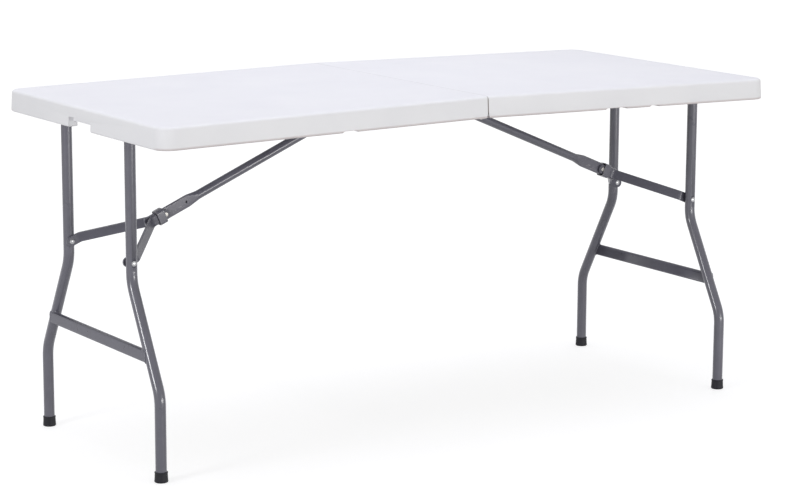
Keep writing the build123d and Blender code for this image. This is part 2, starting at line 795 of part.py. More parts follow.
# Places and turns of the joints, on the right half
right_brace = along_brace(halves["right"])
elbow_place = right_brace.from_local_coords((strut_length, 0, 0))
print("leg pivot", pivot_x, pivot_height, "turn", 90 + degrees(crown_angle))
print("strut pivot", right_brace.origin.X, right_brace.origin.Z, "turn", degrees(brace_angle))
print("elbow", elbow_place.X, elbow_place.Z, "turn", 180 - degrees(atan2(folded_rise, folded_overlap)))
print("brace direction", right_brace.x_dir.X, right_brace.x_dir.Z)
print("centre hinge height", top_height - rim_height / cos(crown_angle))
print("strut", strut_length, "fork", fork_length, "folded elbow", folded_elbow_u)
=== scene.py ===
import json
import math

import bmesh
import bpy
from mathutils import Matrix, Vector

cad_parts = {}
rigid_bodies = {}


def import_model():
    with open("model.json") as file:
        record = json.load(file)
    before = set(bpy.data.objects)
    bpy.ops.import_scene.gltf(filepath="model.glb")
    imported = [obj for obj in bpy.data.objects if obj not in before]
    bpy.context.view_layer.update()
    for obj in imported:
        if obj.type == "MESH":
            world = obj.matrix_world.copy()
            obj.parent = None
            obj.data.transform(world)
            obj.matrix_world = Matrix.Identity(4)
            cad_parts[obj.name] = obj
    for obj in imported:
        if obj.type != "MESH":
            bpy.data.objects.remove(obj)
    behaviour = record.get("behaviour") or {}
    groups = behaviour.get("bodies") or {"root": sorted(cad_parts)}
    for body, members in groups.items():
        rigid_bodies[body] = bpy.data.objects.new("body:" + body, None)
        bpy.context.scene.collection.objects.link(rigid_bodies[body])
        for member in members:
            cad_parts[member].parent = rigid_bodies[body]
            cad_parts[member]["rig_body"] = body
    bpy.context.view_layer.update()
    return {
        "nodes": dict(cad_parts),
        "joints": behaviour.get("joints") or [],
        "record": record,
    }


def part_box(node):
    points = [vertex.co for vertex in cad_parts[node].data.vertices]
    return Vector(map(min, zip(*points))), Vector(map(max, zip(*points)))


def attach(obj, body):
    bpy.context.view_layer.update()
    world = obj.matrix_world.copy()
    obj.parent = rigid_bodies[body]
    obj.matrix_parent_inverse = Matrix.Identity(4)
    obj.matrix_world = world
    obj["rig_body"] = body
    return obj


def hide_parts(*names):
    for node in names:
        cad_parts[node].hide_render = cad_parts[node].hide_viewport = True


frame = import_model()

# Table top
# Each half is one hollow moulding in white polyethylene, with a deep rim and a fine grain on its skin.
# Underneath, rows of dimples tie its two skins together. The halves meet edge to edge at the fold. Shade
# is painted into the colour there, as a dark line in the seam, and as a darker band along the lips of the
# long sides.
sides = {"left": -1, "right": 1}
weld_distance = 1e-5
flat_angle = math.radians(0.2)
crease_angle = math.radians(32)
moulding_edge = 0.0009
moulding_grain = 0.0011
moulding_grain_depth = 0.00012
moulding_patch = 0.16
moulding_roughness = (0.50, 0.60)
moulding_white = (0.86, 0.86, 0.87, 1)
moulding_cloud = (0.84, 0.84, 0.855, 1)
# Painted shade: a dark warm line along the fold seam, where the gap between the halves lies in shade
seam_shade_paint = (0.33, 0.285, 0.27, 1)
seam_shade_width = 0.0021
seam_shade_on_top = 0.25
seam_shade_depth = 0.008
# Painted shade: a darker band along the lower lip of the long rims, which faces down, away from the light
lip_shade_paint = (0.69, 0.64, 0.635, 1)
lip_shade_height = 0.006
lip_shade_inset = 0.02


def joined_mesh(node):
    """A copy of a node's shape with its loose triangles joined and its flat faces made whole."""
    bm = bmesh.new()
    bm.from_mesh(frame["nodes"][node].data)
    bmesh.ops.remove_doubles(bm, verts=bm.verts, dist=weld_distance)
    bmesh.ops.dissolve_limit(bm, angle_limit=flat_angle, verts=bm.verts, edges=bm.edges)
    for face in bm.faces:
        face.smooth = True
    return bm


def mesh_from(bm, name):
    """Turns an edit mesh into a mesh that is smooth up to its creases."""
    mesh = bpy.data.meshes.new(name)
    bm.to_mesh(mesh)
    bm.free()
    mesh.set_sharp_from_angle(angle=crease_angle)
    return mesh


def add_object(name, data):
    """Makes an object and links it to the scene."""
    thing = bpy.data.objects.new(name, data)
    bpy.context.collection.objects.link(thing)
    return thing


def add_piece(name, mesh, nodes, finish):
    """Links a finished mesh as the shown form of its nodes, riding on their body."""
    piece = add_object(name, mesh)
    mesh.materials.clear()
    mesh.materials.append(finish)
    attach(piece, frame["nodes"][nodes[0]]["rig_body"])
    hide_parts(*nodes)
    return piece


def dress(node, name, finish, soft_edge=0.0, segments=2, edge_finish=None):
    """Shows a node, with its sharp edges rounded by soft_edge and in a finish of their own if given."""
    mesh = mesh_from(joined_mesh(node), name)
    piece = add_piece(name, mesh, [node], finish)
    if soft_edge > 0:
        soften = piece.modifiers.new("soft edges", "BEVEL")
        soften.width = soft_edge
        soften.segments = segments
        soften.limit_method = "ANGLE"
        soften.angle_limit = crease_angle
        soften.harden_normals = True
        if edge_finish:
            mesh.materials.append(edge_finish)
            soften.material = 1


def set_inputs(tree, node, inputs):
    """Links outputs to a node's inputs, or sets the inputs to plain values."""
    for key, value in inputs.items():
        if isinstance(value, bpy.types.NodeSocket):
            tree.links.new(value, node.inputs[key])
        else:
            node.inputs[key].default_value = value


def add_node(tree, kind, inputs=None, **settings):
    """Adds a node, sets its options, and links or sets its inputs."""
    node = tree.nodes.new(kind)
    for key, value in settings.items():
        setattr(node, key, value)
    set_inputs(tree, node, inputs or {})
    return node


def maths(tree, operation, *values):
    """Output of a Math node on one to three values."""
    return add_node(tree, "ShaderNodeMath", dict(enumerate(values)), operation=operation).outputs[0]


def new_group(name, kind, sockets):
    """Starts a node group from (name, way, type) sockets. Returns the tree, its input and its output."""
    tree = bpy.data.node_groups.new(name, kind)
    for socket_name, way, socket_type in sockets:
        tree.interface.new_socket(socket_name, in_out=way, socket_type=socket_type)
    return tree, tree.nodes.new("NodeGroupInput"), tree.nodes.new("NodeGroupOutput")


# Soft cloudy patches of one surface, between 0 and 1
cloud_detail = 4.0
cloud_roughness = 0.6
cloud_low = 0.3
cloud_high = 0.7
cloud_group, cloud_in, cloud_out = new_group(
    "cloudy patches",
    "ShaderNodeTree",
    [("Size", "INPUT", "NodeSocketFloat"), ("Patches", "OUTPUT", "NodeSocketFloat")],
)
cloud_place = add_node(cloud_group, "ShaderNodeTexCoord")
cloud_noise = add_node(
    cloud_group,
    "ShaderNodeTexNoise",
    {
        "Vector": cloud_place.outputs["Object"],
        "Scale": maths(cloud_group, "DIVIDE", 1.0, cloud_in.outputs["Size"]),
        "Detail": cloud_detail,
        "Roughness": cloud_roughness,
    },
)
cloud_range = add_node(
    cloud_group,
    "ShaderNodeMapRange",
    {"Value": cloud_noise.outputs["Fac"], "From Min": cloud_low, "From Max": cloud_high},
)
cloud_group.links.new(cloud_range.outputs["Result"], cloud_out.inputs["Patches"])

# Fine pebbled grain, as a height between 0 and 1
grain_smoothness = 0.6
grain_detail = 2.0
grain_group, grain_in, grain_out = new_group(
    "pebbled grain",
    "ShaderNodeTree",
    [("Size", "INPUT", "NodeSocketFloat"), ("Height", "OUTPUT", "NodeSocketFloat")],
)
grain_place = add_node(grain_group, "ShaderNodeTexCoord")
grain_scale = maths(grain_group, "DIVIDE", 1.0, grain_in.outputs["Size"])
grain_cells = add_node(
    grain_group,
    "ShaderNodeTexVoronoi",
    {"Vector": grain_place.outputs["Object"], "Scale": grain_scale, "Smoothness": grain_smoothness},
    feature="SMOOTH_F1",
)
grain_noise = add_node(
    grain_group,
    "ShaderNodeTexNoise",
    {"Vector": grain_place.outputs["Object"], "Scale": grain_scale, "Detail": grain_detail},
)
grain_height = maths(grain_group, "MULTIPLY", grain_cells.outputs["Distance"], grain_noise.outputs["Fac"])
grain_group.links.new(grain_height, grain_out.inputs["Height"])


def new_finish(name):
    """Starts a material; returns it with its tree and its shader."""
    finish = bpy.data.materials.new(name)
    finish.use_nodes = True
    return finish, finish.node_tree, finish.node_tree.nodes["Principled BSDF"]


def cloudy(tree, size):
    """Mask of soft patches, with forms of about the size."""
    return add_node(tree, "ShaderNodeGroup", {"Size": size}, node_tree=cloud_group).outputs["Patches"]


def pebbled(tree, size):
    """Height of a pebbled grain of the size."""
    return add_node(tree, "ShaderNodeGroup", {"Size": size}, node_tree=grain_group).outputs["Height"]


def mix_colours(tree, mask, first, second):
    """Output that goes from the first colour to the second as the mask goes from 0 to 1."""
    mix = add_node(tree, "ShaderNodeMix", data_type="RGBA")
    set_inputs(tree, mix, {0: mask, 6: first, 7: second})
    return mix.outputs[2]


def between(tree, value, low, high):
    """Output that goes from low to high as the value goes from 0 to 1."""
    span = add_node(tree, "ShaderNodeMapRange", {"Value": value, "To Min": low, "To Max": high})
    return span.outputs["Result"]


def fade(tree, value, full, none):
    """Mask that is 1 where the value is at full, and fades to 0 at none."""
    span = add_node(tree, "ShaderNodeMapRange", {"Value": value, "From Min": none, "From Max": full})
    return span.outputs["Result"]


def bump(tree, height, depth):
    """Normal output of a surface raised by the height, which is depth metres at 1."""
    return add_node(tree, "ShaderNodeBump", {"Height": height, "Distance": depth}).outputs["Normal"]


def panel_up(side):
    """Upward direction of one half of the top, square to its slab."""
    mount = next(m for m in frame["record"]["mounts"] if m["name"] == f"{side}_table_top")
    return Vector(mount["axis"])


# The halves slope down from the fold alike, so one level, measured up from the slope, holds for both
panel_low, panel_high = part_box("right_panel")
panel_slope = panel_up("right").x / panel_up("right").z
lip_level = panel_low.z + panel_slope * panel_high.x
lip_shade_top = lip_level + lip_shade_height
top_level = panel_high.z
long_side = panel_high.y

white_moulding, tree, shader = new_finish("white moulding")
patches = cloudy(tree, moulding_patch)
place = add_node(tree, "ShaderNodeTexCoord")
along = add_node(tree, "ShaderNodeSeparateXYZ", {0: place.outputs["Object"]})
from_fold = maths(tree, "ABSOLUTE", along.outputs["X"])
from_middle = maths(tree, "ABSOLUTE", along.outputs["Y"])
level = maths(tree, "MULTIPLY_ADD", from_fold, panel_slope, along.outputs["Z"])
# Painted shade in the fold seam: faint on the top, full down the rim
near_fold = fade(tree, from_fold, seam_shade_width / 3, seam_shade_width)
down_rim = fade(tree, level, top_level - seam_shade_depth, top_level - seam_shade_depth / 4)
seam_shade_mask = maths(tree, "MULTIPLY", near_fold, between(tree, down_rim, seam_shade_on_top, 1.0))
# Painted shade along the downward-facing lip, only near the long sides
low_down = fade(tree, level, lip_shade_top - lip_shade_height / 2, lip_shade_top)
on_long_side = fade(tree, from_middle, long_side - lip_shade_inset, long_side - 2 * lip_shade_inset)
lip_shade_mask = maths(tree, "MULTIPLY", low_down, on_long_side)
white = mix_colours(tree, patches, moulding_white, moulding_cloud)
lip_shaded = mix_colours(tree, lip_shade_mask, white, lip_shade_paint)
set_inputs(tree, shader, {
    "Base Color": mix_colours(tree, seam_shade_mask, lip_shaded, seam_shade_paint),
    "Roughness": between(tree, patches, *moulding_roughness),
    "Normal": bump(tree, pebbled(tree, moulding_grain), moulding_grain_depth),
})

for side in sides:
    dress(f"{side}_panel", f"{side}_top_moulding", white_moulding, moulding_edge)

# Side rails
# Folded steel channels that stiffen each half, screwed up against the slab inside its side rims. Like
# all the steelwork that shows, they have a grey powder coat with a fine ripple and pale flecks. The
# coat is duller on the flat bars below.
rail_edge = 0.0005
coat_grey = (0.104, 0.102, 0.128, 1)
coat_light = (0.126, 0.124, 0.154, 1)
coat_fleck = (0.42, 0.42, 0.45, 1)
coat_ripple = 0.0015
coat_ripple_depth = 0.00004
coat_fleck_spacing = 0.0042
coat_fleck_size = 0.085
coat_patch = 0.05
coat_roughness = (0.26, 0.36)
coat_shine = 0.4
coat_gloss = 0.5
coat_gloss_roughness = 0.13
dull_shine = 0.25
dull_gloss = 0.15

# Scattered small flecks, as a mask
fleck_group, fleck_in, fleck_out = new_group(
    "scattered flecks",
    "ShaderNodeTree",
    [
        ("Spacing", "INPUT", "NodeSocketFloat"),
        ("Size", "INPUT", "NodeSocketFloat"),
        ("Flecks", "OUTPUT", "NodeSocketFloat"),
    ],
)
fleck_place = add_node(fleck_group, "ShaderNodeTexCoord")
fleck_cells = add_node(
    fleck_group,
    "ShaderNodeTexVoronoi",
    {
        "Vector": fleck_place.outputs["Object"],
        "Scale": maths(fleck_group, "DIVIDE", 1.0, fleck_in.outputs["Spacing"]),
    },
)
fleck_mask = fade(fleck_group, fleck_cells.outputs["Distance"], 0.0, fleck_in.outputs["Size"])
fleck_group.links.new(fleck_mask, fleck_out.inputs["Flecks"])


def new_coat(name):
    """Starts a powder coat; returns its material, tree and shader, and its colour before any wear."""
    finish, tree, shader = new_finish(name)
    patches = cloudy(tree, coat_patch)
    spread = {"Spacing": coat_fleck_spacing, "Size": coat_fleck_size}
    flecks = add_node(tree, "ShaderNodeGroup", spread, node_tree=fleck_group).outputs["Flecks"]
    grey = mix_colours(tree, patches, coat_grey, coat_light)
    colour = mix_colours(tree, flecks, grey, coat_fleck)
    set_inputs(tree, shader, {
        "Base Color": colour,
        "Roughness": between(tree, patches, *coat_roughness),
        "Normal": bump(tree, pebbled(tree, coat_ripple), coat_ripple_depth),
        "Specular IOR Level": coat_shine,
        "Coat Weight": coat_gloss,
        "Coat Roughness": coat_gloss_roughness,
    })
    return finish, tree, shader, colour


grey_coat = new_coat("grey powder coat")[0]
dull_coat, tree, shader, colour = new_coat("dull powder coat")
set_inputs(tree, shader, {"Specular IOR Level": dull_shine, "Coat Weight": dull_gloss})

for side in sides:
    for edge in ("near", "far"):
        dress(f"{side}_{edge}_rail", f"{side}_{edge}_side_rail", grey_coat, rail_edge)

# Screws
# Pan-head screws with a cross recess, in bright plated steel, driven up through the rails and the
# strut brackets into the slab. Each stands at a random turn, as it was left by the driver.
screw_head_radius = 0.0045
screw_head_height = 0.0022
screw_crown = 0.7
screw_shank_radius = 0.0024
screw_thread_depth = 0.0005
screw_thread_pitch = 0.0018
screw_recess_width = 0.0011
screw_recess_length = 0.0048
screw_recess_depth = 0.0013
screw_sides = 32
screw_seed = 7
plate_bright = (0.50, 0.50, 0.51, 1)
plate_dull = (0.36, 0.36, 0.37, 1)
plate_patch = 0.004
plate_roughness = (0.22, 0.34)

bright_plate, tree, shader = new_finish("bright plated steel")
patches = cloudy(tree, plate_patch)
set_inputs(tree, shader, {
    "Base Color": mix_colours(tree, patches, plate_bright, plate_dull),
    "Roughness": between(tree, patches, *plate_roughness),
    "Metallic": 1.0,
})


def lathe(profile, steps):
    """Solid turned about Z from a profile of (radius, height) points that starts and ends on the axis."""
    bm = bmesh.new()
    points = [bm.verts.new((radius, 0, height)) for radius, height in profile]
    lines = [bm.edges.new(pair) for pair in zip(points, points[1:])]
    turned = {"cent": (0, 0, 0), "axis": (0, 0, 1), "angle": 2 * math.pi, "steps": steps}
    bmesh.ops.spin(bm, geom=points + lines, **turned)
    bmesh.ops.remove_doubles(bm, verts=bm.verts, dist=weld_distance / 10)
    bmesh.ops.recalc_face_normals(bm, faces=bm.faces)
    for face in bm.faces:
        face.smooth = True
    return bm


def dome(radius, height, base, steps=7):
    """Profile of a domed head from its crown down to its rim, above the base."""
    sphere = (radius**2 + height**2) / (2 * height)
    half_angle = math.asin(min(1.0, radius / sphere))
    angles = [half_angle * i / steps for i in range(steps + 1)]
    return [(sphere * math.sin(a), base + height - sphere + sphere * math.cos(a)) for a in angles]


def separate_boxes(node):
    """Lowest and highest corners of each separate solid in a node, always in the same order."""
    bm = joined_mesh(node)
    boxes = []
    left = set(bm.verts)
    while left:
        group = [left.pop()]
        for vert in group:
            for edge in vert.link_edges:
                other = edge.other_vert(vert)
                if other in left:
                    left.remove(other)
                    group.append(other)
        corners = [[pick(v.co[axis] for v in group) for axis in range(3)] for pick in (min, max)]
        boxes.append([Vector(corner) for corner in corners])
    bm.free()
    return sorted(boxes, key=lambda box: tuple(box[0]))


# Places a fastener on each marked point, with its Z along the point's facing and a random turn about it
fastener_tree, fastener_in, fastener_out = new_group(
    "fasteners at marked points",
    "GeometryNodeTree",
    [
        ("Points", "INPUT", "NodeSocketGeometry"),
        ("Fastener", "INPUT", "NodeSocketObject"),
        ("Seed", "INPUT", "NodeSocketInt"),
        ("Finish", "INPUT", "NodeSocketMaterial"),
        ("Fasteners", "OUTPUT", "NodeSocketGeometry"),
    ],
)
facing = add_node(
    fastener_tree,
    "GeometryNodeInputNamedAttribute",
    {"Name": "facing"},
    data_type="FLOAT_VECTOR",
)
aligned = add_node(
    fastener_tree,
    "FunctionNodeAlignRotationToVector",
    {"Vector": facing.outputs["Attribute"]},
    axis="Z",
)
spin = add_node(
    fastener_tree,
    "FunctionNodeRandomValue",
    {3: 2 * math.pi, "Seed": fastener_in.outputs["Seed"]},
    data_type="FLOAT",
)
spin_vector = add_node(fastener_tree, "ShaderNodeCombineXYZ", {"Z": spin.outputs[1]})
spin_turn = add_node(fastener_tree, "FunctionNodeEulerToRotation", {"Euler": spin_vector.outputs[0]})
turned = add_node(
    fastener_tree,
    "FunctionNodeRotateRotation",
    {"Rotation": aligned.outputs[0], "Rotate By": spin_turn.outputs[0]},
    rotation_space="LOCAL",
)
pattern = add_node(
    fastener_tree,
    "GeometryNodeObjectInfo",
    {"Object": fastener_in.outputs["Fastener"], "As Instance": True},
)
placed = add_node(
    fastener_tree,
    "GeometryNodeInstanceOnPoints",
    {
        "Points": fastener_in.outputs["Points"],
        "Instance": pattern.outputs["Geometry"],
        "Rotation": turned.outputs[0],
    },
)


def end_tree(tree, geometry, finish, result):
    """Ends a geometry tree with real geometry in its finish."""
    real = add_node(tree, "GeometryNodeRealizeInstances", {"Geometry": geometry})
    finished = add_node(
        tree,
        "GeometryNodeSetMaterial",
        {"Geometry": real.outputs["Geometry"], "Material": finish},
    )
    tree.links.new(finished.outputs["Geometry"], result)


end_tree(
    fastener_tree,
    placed.outputs["Instances"],
    fastener_in.outputs["Finish"],
    fastener_out.inputs["Fasteners"],
)


def made_real(thing):
    """Plain mesh of an object as its modifiers leave it."""
    bpy.context.view_layer.update()
    depsgraph = bpy.context.evaluated_depsgraph_get()
    return bpy.data.meshes.new_from_object(thing.evaluated_get(depsgraph))


def grow(name, mesh, tree, values):
    """Plain mesh that a geometry tree makes of a mesh, with the named input values."""
    base = add_object(name, mesh)
    modifier = base.modifiers.new(name, "NODES")
    modifier.node_group = tree
    for item in tree.interface.items_tree:
        if item.in_out == "INPUT" and item.name in values:
            modifier[item.identifier] = values[item.name]
    result = made_real(base)
    result.name = name
    base.modifiers.remove(modifier)
    bpy.data.objects.remove(base)
    return result


def set_fasteners(node, name, shape, places):
    """Shows a node of like plated fasteners: one copy of the shape at each (place, facing)."""
    pattern_object = add_object(f"{name}_pattern", shape)
    points = bpy.data.meshes.new(f"{name}_points")
    points.from_pydata([place for place, direction in places], [], [])
    marks = points.attributes.new("facing", "FLOAT_VECTOR", "POINT")
    for mark, (place, direction) in zip(marks.data, places):
        mark.vector = direction
    values = {"Fastener": pattern_object, "Seed": screw_seed, "Finish": bright_plate}
    mesh = grow(name, points, fastener_tree, values)
    bpy.data.objects.remove(pattern_object)
    add_piece(name, mesh, [node], bright_plate)


def screw_shape(grip):
    """Pan-head screw with its seat at the origin, head along +Z, and a ridged shank of length grip."""
    ridges = []
    depth = 0.0
    while depth < grip - 2 * screw_thread_pitch:
        ridges += [(screw_shank_radius - screw_thread_depth, -depth - screw_thread_pitch / 2)]
        ridges += [(screw_shank_radius, -depth - screw_thread_pitch)]
        depth += screw_thread_pitch
    crown = screw_head_height * screw_crown
    head = dome(screw_head_radius, crown, screw_head_height - crown)
    profile = head + [(screw_head_radius, 0), (screw_shank_radius, 0)] + ridges + [(0, -grip)]
    blank = add_object("screw_blank", mesh_from(lathe(profile, screw_sides), "screw_blank"))
    cutters = []
    recess = (screw_recess_length, screw_recess_width)
    for arm in (recess, recess[::-1]):
        bm = bmesh.new()
        bmesh.ops.create_cube(bm, size=1.0)
        bmesh.ops.scale(bm, vec=(*arm, 2 * screw_recess_depth), verts=bm.verts)
        bmesh.ops.translate(bm, vec=(0, 0, screw_head_height), verts=bm.verts)
        cutter = add_object("screw_recess", mesh_from(bm, "screw_recess"))
        cut = blank.modifiers.new("recess", "BOOLEAN")
        cut.object = cutter
        cut.solver = "EXACT"
        cutters.append(cutter)
    shape = made_real(blank)
    for spare in [blank, *cutters]:
        bpy.data.objects.remove(spare)
    bm = bmesh.new()
    bm.from_mesh(shape)
    bmesh.ops.dissolve_degenerate(bm, dist=weld_distance, edges=bm.edges)
    bm.to_mesh(shape)
    bm.free()
    return shape


def screw_places(node, up):
    """Seat of each screw of a node, under its head, facing down from the slab, and the screws' grip."""
    places = []
    for low, high in separate_boxes(node):
        length = high.z - low.z
        seat = (low + high) / 2 - up * (length / 2 - screw_head_height)
        places.append((seat, -up))
    return places, length - screw_head_height


for side in sides:
    for kind in ("rail_screws", "bracket_screws"):
        places, grip = screw_places(f"{side}_{kind}", panel_up(side))
        name = f"{side}_{kind}_set"
        set_fasteners(f"{side}_{kind}", name, screw_shape(grip), places)

# Fold hinges
# Zinc-plated castings in the ends of the rails, a tongue on the left half and a fork on the right,
# joined by a headed pin level with the bottom of the rim.
zinc_edge = 0.0006
zinc_light = (0.42, 0.41, 0.39, 1)
zinc_dark = (0.26, 0.25, 0.24, 1)
zinc_patch = 0.009
zinc_grain = 0.0009
zinc_grain_depth = 0.00006
zinc_roughness = (0.36, 0.5)
zinc_metal = 0.9

zinc_plate, tree, shader = new_finish("dull zinc plate")
patches = cloudy(tree, zinc_patch)
set_inputs(tree, shader, {
    "Base Color": mix_colours(tree, patches, zinc_light, zinc_dark),
    "Roughness": between(tree, patches, *zinc_roughness),
    "Normal": bump(tree, pebbled(tree, zinc_grain), zinc_grain_depth),
    "Metallic": zinc_metal,
})

for edge in ("near", "far"):
    dress(f"{edge}_hinge_tongue", f"{edge}_fold_tongue", zinc_plate, zinc_edge)
    dress(f"{edge}_hinge_fork", f"{edge}_fold_fork", zinc_plate, zinc_edge)
    dress(f"{edge}_hinge_pin", f"{edge}_fold_pin", bright_plate, zinc_edge)

# Leg pivots
# A stub of tube across the top of each leg, swaged down to a journal. The journals turn in dark nylon
# bushes pressed into the rails.
bush_edge = 0.0004
nylon_dark = (0.022, 0.022, 0.024, 1)
nylon_worn = (0.05, 0.05, 0.053, 1)
nylon_patch = 0.012
nylon_roughness = (0.4, 0.55)

dark_nylon, tree, shader = new_finish("dark nylon")
patches = cloudy(tree, nylon_patch)
set_inputs(tree, shader, {
    "Base Color": mix_colours(tree, patches, nylon_dark, nylon_worn),
    "Roughness": between(tree, patches, *nylon_roughness),
})

for side in sides:
    dress(f"{side}_pivot_bushes", f"{side}_bushes", dark_nylon, bush_edge)
    for edge in ("near", "far"):
        stub = f"{side}_{edge}_pivot_tube"
        dress(stub, f"{side}_{edge}_pivot_stub", grey_coat, bush_edge)

# Legs
# Bent steel tubes, two to a frame, splayed below the brace and joined by a flattened crossbar. All the
# joins are welded before the frame is coated, so the beads are grey too.
joints = {joint["name"]: joint for joint in frame["joints"]}
bead_radius = 0.0019
bead_ripple = 0.0024
bead_ripple_depth = 0.16
bead_ripple_steps = 4.0
bead_sides = 8
bead_easing = 10
bead_stations = (0.25, 0.5, 0.75)
surface_tolerance = 0.00012
skin_slant = 0.02
cope_slant = (0.04, 0.995)

# Runs a rippled weld bead along a chain of edges, eased round its corners
bead_tree, bead_in, bead_out = new_group(
    "weld bead along edges",
    "GeometryNodeTree",
    [
        ("Seam", "INPUT", "NodeSocketGeometry"),
        ("Radius", "INPUT", "NodeSocketFloat"),
        ("Ripple pitch", "INPUT", "NodeSocketFloat"),
        ("Ripple depth", "INPUT", "NodeSocketFloat"),
        ("Finish", "INPUT", "NodeSocketMaterial"),
        ("Bead", "OUTPUT", "NodeSocketGeometry"),
    ],
)
bead_pitch = bead_in.outputs["Ripple pitch"]
seam_curve = add_node(bead_tree, "GeometryNodeMeshToCurve", {"Mesh": bead_in.outputs["Seam"]})
even_curve = add_node(
    bead_tree,
    "GeometryNodeResampleCurve",
    {
        "Curve": seam_curve.outputs["Curve"],
        "Length": maths(bead_tree, "DIVIDE", bead_pitch, bead_ripple_steps),
    },
    mode="LENGTH",
)
seam_position = add_node(bead_tree, "GeometryNodeInputPosition")
eased = add_node(
    bead_tree,
    "GeometryNodeBlurAttribute",
    {"Value": seam_position.outputs[0], "Iterations": bead_easing},
    data_type="FLOAT_VECTOR",
)
eased_curve = add_node(
    bead_tree,
    "GeometryNodeSetPosition",
    {"Geometry": even_curve.outputs["Curve"], "Position": eased.outputs[0]},
)
travel = add_node(bead_tree, "GeometryNodeSplineParameter")
ripples = maths(bead_tree, "DIVIDE", travel.outputs["Length"], bead_pitch)
wave = maths(bead_tree, "SINE", maths(bead_tree, "MULTIPLY", ripples, 2 * math.pi))
section = add_node(
    bead_tree,
    "GeometryNodeCurvePrimitiveCircle",
    {"Resolution": bead_sides, "Radius": bead_in.outputs["Radius"]},
)
swept = add_node(
    bead_tree,
    "GeometryNodeCurveToMesh",
    {
        "Curve": eased_curve.outputs["Geometry"],
        "Profile Curve": section.outputs["Curve"],
        "Scale": maths(bead_tree, "MULTIPLY_ADD", wave, bead_in.outputs["Ripple depth"], 1.0),
        "Fill Caps": True,
    },
)
smooth = add_node(bead_tree, "GeometryNodeSetShadeSmooth", {"Geometry": swept.outputs["Mesh"]})
end_tree(bead_tree, smooth.outputs["Geometry"], bead_in.outputs["Finish"], bead_out.inputs["Bead"])


def seam_edges(node, is_seam):
    """The edges of a node that pass the test, alone."""
    bm = joined_mesh(node)
    spare = [edge for edge in bm.edges if not is_seam(edge)]
    bmesh.ops.delete(bm, geom=spare, context="EDGES_FACES")
    loose = [vert for vert in bm.verts if not vert.link_edges]
    bmesh.ops.delete(bm, geom=loose, context="VERTS")
    return bm


def lay_bead(name, bm, body):
    """Lays a bead along the edges, as a piece of its own on the body."""
    values = {
        "Radius": bead_radius,
        "Ripple pitch": bead_ripple,
        "Ripple depth": bead_ripple_depth,
        "Finish": grey_coat,
    }
    bead = add_object(name, grow(name, mesh_from(bm, f"{name}_seam"), bead_tree, values))
    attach(bead, body)


def stub_seam(leg, pivot):
    """Edges of a leg that lie both on its own skin and on that of the stub across its top."""
    low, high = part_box(leg)
    radius = (high.x - low.x) / 2
    leg_y = low.y + radius if low.y > 0 else high.y - radius

    def on_both(edge):
        for vert in edge.verts:
            to_stub = math.hypot(vert.co.x - pivot.x, vert.co.z - pivot.z)
            to_leg = math.hypot(vert.co.x - pivot.x, vert.co.y - leg_y)
            if max(abs(to_stub - radius), abs(to_leg - radius)) > surface_tolerance:
                return False
        return True

    return seam_edges(leg, on_both)


def crossbar_seam(bar, leg_outside):
    """Edges of a crossbar round its two legs, closed where its ends lie on the legs' outer side."""
    bar_low, bar_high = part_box(bar)
    bar_axis = (bar_low + bar_high) / 2

    def on_leg(edge):
        if len(edge.link_faces) != 2:
            return False
        skin, cope = sorted(edge.link_faces, key=lambda face: abs(face.normal.y))
        middle = (edge.verts[0].co + edge.verts[1].co) / 2
        outwards = middle - Vector((bar_axis.x, middle.y, bar_axis.z))
        coped = cope_slant[0] < abs(cope.normal.y) < cope_slant[1]
        return abs(skin.normal.y) < skin_slant and coped and skin.normal.dot(outwards) > 0

    bm = seam_edges(bar, on_leg)
    for direction in (-1, 1):
        ends = [v for v in bm.verts if len(v.link_edges) == 1 and v.co.y * direction > 0]
        ends.sort(key=lambda vert: abs(vert.co.y))
        if len(ends) < 2:
            continue
        for pair in zip(ends[:-2:2], ends[1:-2:2]):
            if not bm.edges.get(pair):
                bm.edges.new(pair)
        lower, upper = sorted(ends[-2:], key=lambda vert: vert.co.z)
        last = lower
        for share in bead_stations:
            height = lower.co.z + share * (upper.co.z - lower.co.z)
            station = bm.verts.new((leg_outside, lower.co.y, height))
            bm.edges.new((last, station))
            last = station
        bm.edges.new((last, upper))
    return bm


for side, out in sides.items():
    pivot = Vector(joints[f"{side}_leg_fold"]["pos_m"])
    body = f"{side}_leg_frame"
    for edge in ("near", "far"):
        leg = f"{side}_{edge}_leg"
        dress(leg, f"{side}_{edge}_leg_tube", grey_coat)
        lay_bead(f"{side}_{edge}_pivot_weld", stub_seam(leg, pivot), body)
    dress(f"{side}_crossbar", f"{side}_cross_tube", dull_coat)
    leg_low, leg_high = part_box(leg)
    leg_outside = leg_low.x if out < 0 else leg_high.x
    lay_bead(f"{side}_crossbar_welds", crossbar_seam(f"{side}_crossbar", leg_outside), body)

# Foot caps
# Black plastic caps pushed over the ends of the legs, with a rolled lip at the top and a little flare
# at the floor.
cap_lip = 0.0011
cap_waist = 0.0005
cap_sole_dish = 0.0004
cap_sole_round = 0.0012
cap_sole_height = 0.0026
cap_mouth = 0.0002
cap_sides = 64
cap_black = (0.009, 0.009, 0.012, 1)
cap_scuffed = (0.02, 0.02, 0.026, 1)
cap_patch = 0.014
cap_grain = 0.0008
cap_grain_depth = 0.00007
cap_roughness = (0.42, 0.6)
cap_shine = 0.25

black_cap, tree, shader = new_finish("black cap plastic")
patches = cloudy(tree, cap_patch)
set_inputs(tree, shader, {
    "Base Color": mix_colours(tree, patches, cap_black, cap_scuffed),
    "Roughness": between(tree, patches, *cap_roughness),
    "Normal": bump(tree, pebbled(tree, cap_grain), cap_grain_depth),
    "Specular IOR Level": cap_shine,
})


